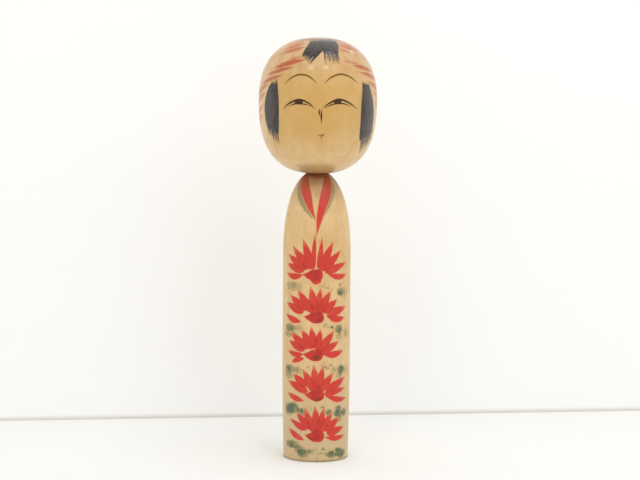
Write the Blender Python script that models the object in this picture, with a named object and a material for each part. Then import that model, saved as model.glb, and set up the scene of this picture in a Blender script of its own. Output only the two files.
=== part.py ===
"""A turned wooden doll: a bullet-shouldered body, a round head that plugs onto it, and the peg between them.

Metres, +Z up. The origin is the middle of the foot, the doll's axis is Z, and its face looks along -Y.
Run it in Blender's text editor, or with blender --background --python part.py.
"""

import math

import bmesh
import bpy

# Body: turned from one blank, straight in the middle, a little slimmer at the foot
BODY_HEIGHT = 0.2057
BODY_RADIUS = 0.0245
FOOT_RADIUS = 0.0234
FOOT_ROUNDING = 0.0010
TAPER_TOP = 0.0700  # height where the taper towards the foot begins
SHOULDER_START = 0.1480  # height where the shoulder begins to draw in
NECK_RADIUS = 0.0082
SHOULDER_POWER = 2.25  # 2 would be an ellipse, more is fuller

# Head: wider than tall, with a flat where it sits on the shoulder
HEAD_HEIGHT = 0.0970
HEAD_RADIUS = 0.0425
HEAD_WIDEST = 0.0520  # height of the widest ring above the seat
HEAD_SEAT_RADIUS = 0.0098
CROWN_POWER = 2.38
CHEEK_POWER = 2.55

# Peg: glued into the body, a turning fit in the head
PEG_RADIUS = 0.0050
PEG_CHAMFER = 0.0010
PEG_IN_BODY = 0.0220
PEG_IN_HEAD = 0.0250
SOCKET_END_ROOM = 0.0015  # free depth past each end of the peg

CLEARANCE = 0.0003  # between any two pieces

# Facets
TURNED_FACETS = 48
PEG_FACETS = 24
CURVE_STEPS = 14
FOOT_STEPS = 3
TAPER_STEPS = 5
SMOOTH_ANGLE = math.radians(35)

HEAD_SEAT = BODY_HEIGHT + CLEARANCE
SOCKET_RADIUS = PEG_RADIUS + CLEARANCE


def superellipse(radius, rise, power, narrow, steps):
    """(radius, height) points from the widest ring, at height 0, to the ring whose radius is narrow."""
    last = math.acos((narrow / radius) ** (power / 2))
    points = []
    for step in range(steps + 1):
        sweep = last * step / steps
        across = max(math.cos(sweep), 0.0) ** (2 / power) * radius
        points.append((across, math.sin(sweep) ** (2 / power) * rise))
    points[-1] = (narrow, points[-1][1])
    return points


def rise_to_cut(radius, height, power, narrow):
    """The full rise of a superellipse that is narrow wide at this height, where it is cut flat."""
    return height / (1 - (narrow / radius) ** power) ** (1 / power)


def taper_radius(height):
    """The body's radius below TAPER_TOP: it draws in faster the nearer it is to the foot."""
    share = 1 - height / TAPER_TOP
    return BODY_RADIUS - (BODY_RADIUS - FOOT_RADIUS) * share**2


def body_outline():
    """From the middle of the foot up the outside to the seat, then down into the socket."""
    outline = [(0.0, 0.0)]
    foot = taper_radius(FOOT_ROUNDING)
    for step in range(FOOT_STEPS + 1):
        turn = math.pi / 2 * step / FOOT_STEPS
        across = foot - FOOT_ROUNDING * (1 - math.sin(turn))
        outline.append((across, FOOT_ROUNDING * (1 - math.cos(turn))))
    for step in range(1, TAPER_STEPS + 1):
        height = FOOT_ROUNDING + (TAPER_TOP - FOOT_ROUNDING) * step / TAPER_STEPS
        outline.append((taper_radius(height), height))
    rise = rise_to_cut(BODY_RADIUS, BODY_HEIGHT - SHOULDER_START, SHOULDER_POWER, NECK_RADIUS)
    for across, up in superellipse(BODY_RADIUS, rise, SHOULDER_POWER, NECK_RADIUS, CURVE_STEPS):
        outline.append((across, SHOULDER_START + up))
    floor = BODY_HEIGHT - PEG_IN_BODY - SOCKET_END_ROOM
    return outline + [(SOCKET_RADIUS, BODY_HEIGHT), (SOCKET_RADIUS, floor), (0.0, floor)]


def head_outline():
    """From the end of the socket down to the seat, then up the outside to the crown."""
    outline = [(0.0, HEAD_SEAT + PEG_IN_HEAD + SOCKET_END_ROOM)]
    outline += [(SOCKET_RADIUS, outline[0][1]), (SOCKET_RADIUS, HEAD_SEAT)]
    widest = HEAD_SEAT + HEAD_WIDEST
    drop = rise_to_cut(HEAD_RADIUS, HEAD_WIDEST, CHEEK_POWER, HEAD_SEAT_RADIUS)
    lower = superellipse(HEAD_RADIUS, drop, CHEEK_POWER, HEAD_SEAT_RADIUS, CURVE_STEPS)
    for across, down in reversed(lower):
        outline.append((across, widest - down))
    upper = superellipse(HEAD_RADIUS, HEAD_HEIGHT - HEAD_WIDEST, CROWN_POWER, 0.0, CURVE_STEPS)
    for across, up in upper[1:]:
        outline.append((across, widest + up))
    return outline


def peg_outline():
    """A plain dowel with both ends chamfered, so that it starts easily in its sockets."""
    low = BODY_HEIGHT - PEG_IN_BODY
    high = HEAD_SEAT + PEG_IN_HEAD
    end = PEG_RADIUS - PEG_CHAMFER
    side = [(end, low), (PEG_RADIUS, low + PEG_CHAMFER), (PEG_RADIUS, high - PEG_CHAMFER), (end, high)]
    return [(0.0, low)] + side + [(0.0, high)]


def wood(name, colour, roughness):
    """Waxed wood in one colour."""
    material = bpy.data.materials.new(name)
    material.use_nodes = True
    shader = material.node_tree.nodes["Principled BSDF"]
    shader.inputs["Base Color"].default_value = (*colour, 1.0)
    shader.inputs["Roughness"].default_value = roughness
    shader.inputs["Metallic"].default_value = 0.0
    material.diffuse_color = (*colour, 1.0)
    return material


def turned(name, outline, facets, origin, material):
    """A closed solid turned about Z from an outline that starts and ends on it. The origin is a height on Z."""
    form = bmesh.new()
    points = [form.verts.new((across, 0.0, height - origin)) for across, height in outline]
    edges = [form.edges.new(pair) for pair in zip(points, points[1:])]
    bmesh.ops.spin(
        form,
        geom=points + edges,
        cent=(0, 0, 0),
        axis=(0, 0, 1),
        angle=2 * math.pi,
        steps=facets,
        use_merge=True,
    )
    bmesh.ops.remove_doubles(form, verts=form.verts, dist=1e-6)
    bmesh.ops.recalc_face_normals(form, faces=form.faces)
    mesh = bpy.data.meshes.new(name)
    form.to_mesh(mesh)
    form.free()
    mesh.shade_smooth()
    mesh.set_sharp_from_angle(angle=SMOOTH_ANGLE)
    mesh.materials.append(material)
    piece = bpy.data.objects.new(name, mesh)
    piece.location = (0.0, 0.0, origin)
    bpy.context.scene.collection.objects.link(piece)
    return piece


def main():
    for old in list(bpy.data.objects):
        bpy.data.objects.remove(old, do_unlink=True)
    body_wood = wood("dogwood_body", (0.69, 0.50, 0.24), 0.42)
    head_wood = wood("dogwood_head", (0.64, 0.39, 0.13), 0.36)
    peg_wood = wood("dogwood_peg", (0.60, 0.42, 0.22), 0.6)
    turned("body", body_outline(), TURNED_FACETS, 0.0, body_wood)
    turned("neck_peg", peg_outline(), PEG_FACETS, BODY_HEIGHT, peg_wood)
    # The head turns on the peg, so its origin is on the peg's axis at the seat
    turned("head", head_outline(), TURNED_FACETS, HEAD_SEAT, head_wood)


main()
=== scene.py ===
"""Turned wooden doll with a brush-painted face and flowers: fine wood and thin dye films on the CAD model."""

import math

import bpy
import numpy as np
from bpy.props import FloatProperty, FloatVectorProperty, IntProperty, PointerProperty
from bpy.types import Operator, Panel, PropertyGroup
from mathutils import Matrix, Vector


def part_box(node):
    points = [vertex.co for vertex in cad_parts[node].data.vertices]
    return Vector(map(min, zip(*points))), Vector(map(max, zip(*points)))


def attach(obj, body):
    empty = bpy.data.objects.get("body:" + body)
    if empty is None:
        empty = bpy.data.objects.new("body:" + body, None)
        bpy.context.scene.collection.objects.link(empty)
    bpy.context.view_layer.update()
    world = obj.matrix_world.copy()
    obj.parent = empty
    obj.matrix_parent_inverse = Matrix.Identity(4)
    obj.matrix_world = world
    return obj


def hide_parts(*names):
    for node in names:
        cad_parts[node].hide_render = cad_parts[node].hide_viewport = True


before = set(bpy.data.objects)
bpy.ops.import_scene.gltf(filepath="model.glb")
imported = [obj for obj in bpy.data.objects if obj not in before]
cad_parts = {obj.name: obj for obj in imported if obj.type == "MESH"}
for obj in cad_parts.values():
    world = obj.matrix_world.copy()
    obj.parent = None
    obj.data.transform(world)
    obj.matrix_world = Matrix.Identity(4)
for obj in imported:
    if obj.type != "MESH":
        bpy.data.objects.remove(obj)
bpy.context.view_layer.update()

bl_info = {
    "name": "Painted turned doll",
    "version": (1, 0, 0),
    "blender": (4, 5, 0),
    "location": "View3D > Sidebar > Doll",
    "description": "Turns the doll's wood and paints its hair, face, collar, flowers and leaves",
    "category": "Object",
}

MM = 0.001
SEED = 11

BODY_LOW, BODY_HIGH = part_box("body")
HEAD_LOW, HEAD_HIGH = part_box("head")
PEG_LOW, PEG_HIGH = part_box("neck_peg")


def linear(code):
    """An sRGB hex colour as three linear numbers."""
    parts = [int(code[start : start + 2], 16) / 255 for start in (0, 2, 4)]
    return tuple(c / 12.92 if c <= 0.04045 else ((c + 0.055) / 1.055) ** 2.4 for c in parts)


def length(name, description, default):
    """A size property in metres."""
    return FloatProperty(name=name, description=description, default=default, unit="LENGTH", precision=5)


def rotation(name, description, degrees):
    """A rotation property, given here in degrees."""
    return FloatProperty(name=name, description=description, default=math.radians(degrees), unit="ROTATION")


def fullness(name, description, default):
    """The power of a superellipse: 2 is an ellipse, more is fuller."""
    return FloatProperty(name=name, description=description, default=default)


def colour(name, description, code):
    """A colour property from an sRGB hex value."""
    return FloatVectorProperty(
        name=name, description=description, default=linear(code), subtype="COLOR", size=3, min=0, max=1
    )


class DollTurning(PropertyGroup):
    """Sizes of the turned wood. Heights and widest radii come from the CAD nodes' boxes."""

    foot_radius: length("Foot radius", "Radius of the body at its foot", 0.0234)
    foot_rounding: length("Foot rounding", "Radius of the rounded foot edge", 0.0010)
    taper_top: length("Taper top", "Height where the taper towards the foot begins", 0.0700)
    shoulder_start: length("Shoulder start", "Height where the shoulder draws in", 0.1480)
    neck_radius: length("Neck radius", "Radius of the body where the head sits", 0.0082)
    shoulder_power: fullness("Shoulder power", "Fullness of the shoulder", 2.25)
    head_widest: length("Head widest", "Height of the head's widest ring above its seat", 0.0520)
    seat_radius: length("Seat radius", "Radius of the flat under the head", 0.0098)
    crown_power: fullness("Crown power", "Fullness of the crown", 2.38)
    cheek_power: fullness("Cheek power", "Fullness of the cheeks", 2.55)
    socket_radius: length("Socket radius", "Radius of the peg's sockets", 0.0053)
    socket_room: length("Socket room", "Free depth past each end of the peg", 0.0015)
    peg_chamfer: length("Peg chamfer", "Chamfer at both ends of the peg", 0.0010)
    under_skin: length("Under skin", "Room for paint between the wood and the CAD surface", 0.00010)
    tool_ripple: length("Tool ripple", "Height of the rings the gouge leaves on the foot", 0.00004)
    facets: IntProperty(name="Facets", description="Faces around each turned piece", default=224, min=24)


class DollWood(PropertyGroup):
    """Colours of the aged, waxed dogwood."""

    body_light: colour("Body light", "Pale early wood of the body", "E2C28E")
    body_dark: colour("Body dark", "Late wood of the body", "CFA468")
    head_light: colour("Head light", "Pale early wood of the head", "E0C08C")
    head_dark: colour("Head dark", "Late wood of the head", "CC9C55")
    honey: colour("Honey", "Deeper colour that age and wax gave the face", "C99B4C")
    rose: colour("Spread dye", "Red dye that handling spread over the crown", "96523F")
    grey: colour("Grey", "Cooler tone of the body near its foot", "C6B086")
    # Also painted shade: the body's neck darkens under the head and its foot along the floor, besides
    # handling soil and dust
    grime_and_shade: colour("Grime and shade", "Dust and handling soil, with painted shade under the head and along the foot", "7A5732")


class DollPaint(PropertyGroup):
    """Colours and sizes of the brush painting."""

    ink: colour("Black ink", "Ink of the hair", "4B4036")
    deep_ink: colour("Deep ink", "Ink of the hair where it is thick", "231F1E")
    line_ink: colour("Line ink", "Ink of the eyes and nose", "3E2606")
    brow_ink: colour("Brow ink", "Thinner ink of the brows", "7A5A18")
    red: colour("Red dye", "Red dye of flowers, collar and crown", "CC3426")
    deep_red: colour("Deep red dye", "Red dye where strokes lie over each other", "AC2017")
    olive: colour("Olive dye", "Thin edge of the leaves' green dye", "80784A")
    green: colour("Green dye", "Watery green dye of the leaves", "54684F")
    seed_spot: colour("Seed spot dye", "Green dye over red at the seeds", "6E3520")
    outline: colour("Outline dye", "Thin grey-green beside the collar", "7E7350")
    old_red: colour("Old red dye", "Red dye of the crown, faded to brick", "B4572F")
    lip: colour("Lip dye", "Faded red of the mouth", "8A5526")
    face_turn: rotation("Face turn", "Turn of the face about the doll's axis", 3)
    film: length("Film", "Thickness of one layer of dye over the wood", 0.00003)
    soak: length("Soak", "Depth that the dye reaches into the wood", 0.00003)


class DollStage(PropertyGroup):
    """The floor, the wall and the camera."""

    floor_paper: colour("Floor paper", "Paper under the doll", "F5F5F3")
    wall_paper: colour("Wall paper", "Paler paper behind the doll", "FBFBFA")
    wall_distance: length("Wall distance", "Wall behind the doll's axis", 0.164)
    wall_turn: rotation("Wall turn", "Turn of the wall about Z", 7.4)
    camera_distance: length("Camera distance", "Camera in front of the doll's axis", 1.265)
    camera_height: length("Camera height", "Camera above the floor", 0.255)
    camera_side: length("Camera side", "Camera to the right of the axis", 0.0022)
    camera_tilt: rotation("Camera tilt", "Downward tilt", 4.4)
    camera_roll: rotation("Camera roll", "Roll", 0.4)
    lens: FloatProperty(name="Lens", description="Focal length for this sensor", default=98.93, unit="CAMERA")
    sensor: FloatProperty(name="Sensor", description="Sensor width in millimetres", default=36)


# Node helper, shared by materials and Geometry Nodes


def node(tree, kind, inputs=None, **settings):
    """Adds a node. Settings are its properties, and inputs maps sockets to values or to other outputs."""
    made = tree.nodes.new(kind)
    for name, value in settings.items():
        setattr(made, name, value)
    for key, value in (inputs or {}).items():
        if isinstance(value, bpy.types.NodeSocket):
            tree.links.new(value, made.inputs[key])
        else:
            made.inputs[key].default_value = value
    return made


def calc(tree, operation, first, second=0.5, third=0.5, clamp=False):
    """The output of a Math node."""
    inputs = {0: first, 1: second, 2: third}
    return node(tree, "ShaderNodeMath", inputs, operation=operation, use_clamp=clamp).outputs[0]


def vector_calc(tree, operation, inputs):
    """The vector output of a Vector Math node."""
    return node(tree, "ShaderNodeVectorMath", inputs, operation=operation).outputs[0]


# Outlines of the turned pieces, as (radius, height) in metres

ROUNDING_STEPS = 6
TAPER_STEPS = 24
STRAIGHT_STEPS = 25
SHOULDER_STEPS = 72
HEAD_STEPS = 64
PEG_STEPS = 8
FOOT_POINTS = 34  # on the foot's underside, from the axis to the edge
RIPPLE_POINTS = 4  # for each ring that the gouge leaves there


def superellipse(radius, rise, power, narrow, steps):
    """Points from the widest ring, at height 0, to the ring whose radius is narrow."""
    last = math.acos((narrow / radius) ** (power / 2))
    points = []
    for step in range(steps + 1):
        sweep = last * step / steps
        across = max(math.cos(sweep), 0.0) ** (2 / power) * radius
        points.append((across, math.sin(sweep) ** (2 / power) * rise))
    points[-1] = (narrow, points[-1][1])
    return points


def rise_to_cut(radius, height, power, narrow):
    """The full rise of a superellipse that is narrow wide at this height."""
    return height / (1 - (narrow / radius) ** power) ** (1 / power)


def body_side(turning):
    """The body's outer side from the foot edge up to the neck."""
    skin = turning.under_skin
    radius = BODY_HIGH.x - skin
    foot = turning.foot_radius - skin
    rounding = turning.foot_rounding
    top = turning.taper_top
    side = []

    def taper(height):
        return radius - (radius - foot) * (1 - height / top) ** 2

    for step in range(ROUNDING_STEPS + 1):
        turn = math.pi / 2 * step / ROUNDING_STEPS
        side.append((taper(rounding) - rounding * (1 - math.sin(turn)), rounding * (1 - math.cos(turn))))
    for step in range(1, TAPER_STEPS + 1):
        height = rounding + (top - rounding) * step / TAPER_STEPS
        side.append((taper(height), height))
    for step in range(1, STRAIGHT_STEPS):
        side.append((radius, top + (turning.shoulder_start - top) * step / STRAIGHT_STEPS))
    reach = BODY_HIGH.z - turning.shoulder_start
    neck = turning.neck_radius - skin
    rise = rise_to_cut(radius, reach, turning.shoulder_power, neck)
    for across, up in superellipse(radius, rise, turning.shoulder_power, neck, SHOULDER_STEPS):
        side.append((across, turning.shoulder_start + up))
    return side


def head_side(turning):
    """The head's outer side from the seat's edge up to the crown."""
    skin = turning.under_skin
    radius = HEAD_HIGH.x - skin
    widest = HEAD_LOW.z + turning.head_widest
    drop = rise_to_cut(radius, turning.head_widest, turning.cheek_power, turning.seat_radius)
    side = []
    lower = superellipse(radius, drop, turning.cheek_power, turning.seat_radius, HEAD_STEPS)
    for across, down in reversed(lower):
        side.append((across, widest - down))
    rise = HEAD_HIGH.z - skin - widest
    for across, up in superellipse(radius, rise, turning.crown_power, 0.0, HEAD_STEPS)[1:]:
        side.append((across, widest + up))
    return side


def body_outline(turning):
    """The whole body: the foot's underside with its tool rings, the side, and the socket in the neck."""
    side = body_side(turning)
    under = []
    for step in range(FOOT_POINTS):
        wave = 1 - math.cos(math.tau * step / RIPPLE_POINTS)
        under.append((side[0][0] * step / FOOT_POINTS, turning.tool_ripple * wave))
    floor = PEG_LOW.z - turning.socket_room
    socket = [(turning.socket_radius, BODY_HIGH.z), (turning.socket_radius, floor), (0.0, floor)]
    return under + side + socket


def head_outline(turning):
    """The whole head: the socket, the seat and the side."""
    end = PEG_HIGH.z + turning.socket_room
    socket = [(0.0, end), (turning.socket_radius, end), (turning.socket_radius, HEAD_LOW.z)]
    return socket + head_side(turning)


def peg_outline(turning):
    """The dowel, with its ends chamfered and a hair of barrel along it."""
    radius = PEG_HIGH.x
    chamfer = turning.peg_chamfer
    outline = [(0.0, PEG_LOW.z), (radius - chamfer, PEG_LOW.z)]
    for step in range(PEG_STEPS + 1):
        share = step / PEG_STEPS
        height = PEG_LOW.z + chamfer + (PEG_HIGH.z - PEG_LOW.z - 2 * chamfer) * share
        outline.append((radius - turning.tool_ripple * (2 * share - 1) ** 2, height))
    return outline + [(radius - chamfer, PEG_HIGH.z), (0.0, PEG_HIGH.z)]


# Geometry Nodes

WOOD_WELD = 1e-6  # points closer than this, in metres, become one
FILM_WELD = 1e-7
SHARP_ANGLE = math.radians(35)


def new_tree(name, inputs):
    """A Geometry Nodes tree with geometry in and out and these named inputs, as (name, type, default)."""
    tree = bpy.data.node_groups.new(name, "GeometryNodeTree")
    tree.interface.new_socket("Geometry", in_out="INPUT", socket_type="NodeSocketGeometry")
    for label, kind, default in inputs:
        socket = tree.interface.new_socket(label, in_out="INPUT", socket_type=kind)
        if default is not None:
            socket.default_value = default
    tree.interface.new_socket("Geometry", in_out="OUTPUT", socket_type="NodeSocketGeometry")
    return tree, tree.nodes.new("NodeGroupInput")


def close_tree(tree, geometry, material):
    """Ends a tree in Realize Instances and Set Material."""
    real = node(tree, "GeometryNodeRealizeInstances", {0: geometry})
    painted = node(tree, "GeometryNodeSetMaterial", {"Geometry": real.outputs[0], "Material": material})
    node(tree, "NodeGroupOutput", {0: painted.outputs[0]})


def lathe_tree():
    """Turns the outline, a chain of points in the XZ plane, about Z. Each outline point becomes one ring."""
    inputs = [("Facets", "NodeSocketInt", 96), ("Wood", "NodeSocketMaterial", None)]
    tree, start = new_tree("turn_on_lathe", inputs)
    outline = start.outputs["Geometry"]
    facets = start.outputs["Facets"]
    size = node(tree, "GeometryNodeAttributeDomainSize", {0: outline}, component="MESH")
    rings = size.outputs["Point Count"]
    columns = calc(tree, "ADD", facets, 1)
    grid = node(tree, "GeometryNodeMeshGrid", {"Vertices X": columns, "Vertices Y": rings})
    index = node(tree, "GeometryNodeInputIndex").outputs[0]
    ring = calc(tree, "MODULO", index, rings)
    column = calc(tree, "FLOOR", calc(tree, "DIVIDE", calc(tree, "ADD", index, 0.5), rings))
    inputs = {0: outline, "Index": ring}
    place = node(tree, "GeometryNodeSampleIndex", inputs, data_type="FLOAT_VECTOR", domain="POINT")
    tree.links.new(node(tree, "GeometryNodeInputPosition").outputs[0], place.inputs["Value"])
    turn = calc(tree, "MULTIPLY", calc(tree, "DIVIDE", column, facets), math.tau)
    inputs = {"Vector": place.outputs["Value"], "Angle": turn}
    spun = node(tree, "ShaderNodeVectorRotate", inputs, rotation_type="Z_AXIS")
    moved = node(tree, "GeometryNodeSetPosition", {"Geometry": grid.outputs[0], "Position": spun.outputs[0]})
    inputs = {"Geometry": moved.outputs[0], "Name": "UVMap", "Value": grid.outputs["UV Map"]}
    mapped = node(tree, "GeometryNodeStoreNamedAttribute", inputs, data_type="FLOAT2", domain="CORNER")
    merged = node(tree, "GeometryNodeMergeByDistance", {"Geometry": mapped.outputs[0], "Distance": WOOD_WELD})
    smooth = node(tree, "GeometryNodeSetShadeSmooth", {"Geometry": merged.outputs[0]})
    close_tree(tree, smooth.outputs[0], start.outputs["Wood"])
    return tree


def film_tree():
    """Wraps a flat painted shape round the turned side and gives it a thickness. Each point of the flat shape
    holds reach, its distance along the side, and turn, its angle from the doll's front."""
    inputs = [("Side", "NodeSocketObject", None), ("Paint", "NodeSocketMaterial", None)]
    inputs += [(label, "NodeSocketFloat", 0.00003) for label in ("Soak", "Film")]
    tree, start = new_tree("wrap_paint_film", inputs)
    side = node(tree, "GeometryNodeObjectInfo", {0: start.outputs["Side"]})
    curve = node(tree, "GeometryNodeMeshToCurve", {0: side.outputs["Geometry"]})
    reach, turn = (
        node(tree, "GeometryNodeInputNamedAttribute", {"Name": label}, data_type="FLOAT").outputs[0]
        for label in ("reach", "turn")
    )
    spot = node(tree, "GeometryNodeSampleCurve", {0: curve.outputs[0], "Length": reach}, mode="LENGTH")
    outward = vector_calc(tree, "CROSS_PRODUCT", {0: (0, 1, 0), 1: spot.outputs["Tangent"]})
    unit = vector_calc(tree, "NORMALIZE", {0: outward})
    to_front = calc(tree, "SUBTRACT", turn, math.pi / 2)

    def at(depth):
        """Where each point goes at this height above the wood."""
        lifted = vector_calc(tree, "SCALE", {0: unit, "Scale": depth})
        moved = vector_calc(tree, "ADD", {0: spot.outputs["Position"], 1: lifted})
        inputs = {"Vector": moved, "Angle": to_front}
        return node(tree, "ShaderNodeVectorRotate", inputs, rotation_type="Z_AXIS").outputs[0]

    below = at(calc(tree, "MULTIPLY", start.outputs["Soak"], -1))
    above = at(start.outputs["Film"])
    inputs = {"Geometry": start.outputs["Geometry"], "Position": below}
    under = node(tree, "GeometryNodeSetPosition", inputs).outputs[0]
    raised = node(tree, "GeometryNodeExtrudeMesh", {"Mesh": under, "Offset Scale": 0, "Individual": False})
    inputs = {"Geometry": raised.outputs[0], "Selection": raised.outputs["Top"], "Position": above}
    upper = node(tree, "GeometryNodeSetPosition", inputs).outputs[0]
    flipped = node(tree, "GeometryNodeFlipFaces", {0: under}).outputs[0]
    both = node(tree, "GeometryNodeJoinGeometry")
    tree.links.new(flipped, both.inputs[0])
    tree.links.new(upper, both.inputs[0])
    closed = node(tree, "GeometryNodeMergeByDistance", {"Geometry": both.outputs[0], "Distance": FILM_WELD})
    smooth = node(tree, "GeometryNodeSetShadeSmooth", {"Geometry": closed.outputs[0]})
    close_tree(tree, smooth.outputs[0], start.outputs["Paint"])
    return tree


def chain(name, outline):
    """An object that holds an outline as a chain of points in the XZ plane."""
    mesh = bpy.data.meshes.new(name)
    points = [(across, 0.0, height) for across, height in outline]
    mesh.from_pydata(points, [(at, at + 1) for at in range(len(points) - 1)], [])
    made = bpy.data.objects.new(name, mesh)
    bpy.context.scene.collection.objects.link(made)
    return made


def settle(name, source, tree, values):
    """Runs a tree on a source object and keeps the result as a plain mesh. The source goes away."""
    modifier = source.modifiers.new(tree.name, "NODES")
    modifier.node_group = tree
    for item in tree.interface.items_tree:
        if item.in_out == "INPUT" and item.name in values:
            modifier[item.identifier] = values[item.name]
    bpy.context.view_layer.update()
    graph = bpy.context.evaluated_depsgraph_get()
    mesh = bpy.data.meshes.new_from_object(source.evaluated_get(graph), depsgraph=graph)
    source.modifiers.remove(modifier)
    bpy.data.objects.remove(source, do_unlink=True)
    mesh.name = name
    mesh.set_sharp_from_angle(angle=SHARP_ANGLE)
    piece = bpy.data.objects.new(name, mesh)
    bpy.context.scene.collection.objects.link(piece)
    return piece


# Wood

# Roughness of the surface and weight of the wax coat
HEAD_GLOSS = (0.42, 0.45)
BODY_GLOSS = (0.50, 0.18)
BARE_GLOSS = (0.70, 0.0)
LINE_GLOSS = (0.62, 0.0)  # ink lines stand on the wax
WAX_ROUGHNESS = 0.10
SPECULAR = 0.35
RELIEF = 0.00012
FULL_DYE = 0.7  # this much dye hides the wood
RING_PITCH = 2.6  # millimetres between growth rings
TOOL_PITCH = 0.9  # millimetres between the gouge's rings
HEAD_PITH = (-31.0, 58.0, 0.0)  # from the pith to the doll's axis, in millimetres
BODY_PITH = (47.0, 36.0, 0.0)


def in_millimetres(tree):
    """The object coordinates in millimetres."""
    place = node(tree, "ShaderNodeTexCoord").outputs["Object"]
    return vector_calc(tree, "MULTIPLY", {0: place, 1: (1 / MM, 1 / MM, 1 / MM)})


def fine_noise(tree, place, scale, detail, seed=0.0, rough=0.5):
    """A noise pattern's factor. Scale is in cycles per millimetre along X, Y and Z."""
    inputs = {"Vector": place, "Scale": scale, "Location": (seed, seed, seed)}
    stretched = node(tree, "ShaderNodeMapping", inputs).outputs[0]
    inputs = {"Vector": stretched, "Scale": 1.0, "Detail": detail, "Roughness": rough}
    return node(tree, "ShaderNodeTexNoise", inputs).outputs["Fac"]


def spread(tree, value, low, high, to_low=0.0, to_high=1.0):
    """Maps a value from one range to another, smoothly and clamped."""
    inputs = {"Value": value, "From Min": low, "From Max": high, "To Min": to_low, "To Max": to_high}
    return node(tree, "ShaderNodeMapRange", inputs, interpolation_type="SMOOTHSTEP").outputs["Result"]


def swing(tree, field, amount, start):
    """A field's swing about its middle, scaled and added to a start."""
    return calc(tree, "MULTIPLY_ADD", calc(tree, "SUBTRACT", field, 0.5), amount, start)


def product(tree, *values):
    """The product of two or more values."""
    made = values[0]
    for value in values[1:]:
        made = calc(tree, "MULTIPLY", made, value)
    return made


def blend_colours(tree, share, first, second):
    """Mixes two colours, each a socket or three linear numbers."""
    made = node(tree, "ShaderNodeMix", {"Factor": share}, data_type="RGBA")
    for name, value in (("A", first), ("B", second)):
        socket = [s for s in made.inputs if s.name == name and s.type == "RGBA"][0]
        if isinstance(value, bpy.types.NodeSocket):
            tree.links.new(value, socket)
        else:
            socket.default_value = (*value, 1.0)
    return [s for s in made.outputs if s.type == "RGBA"][0]


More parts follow.
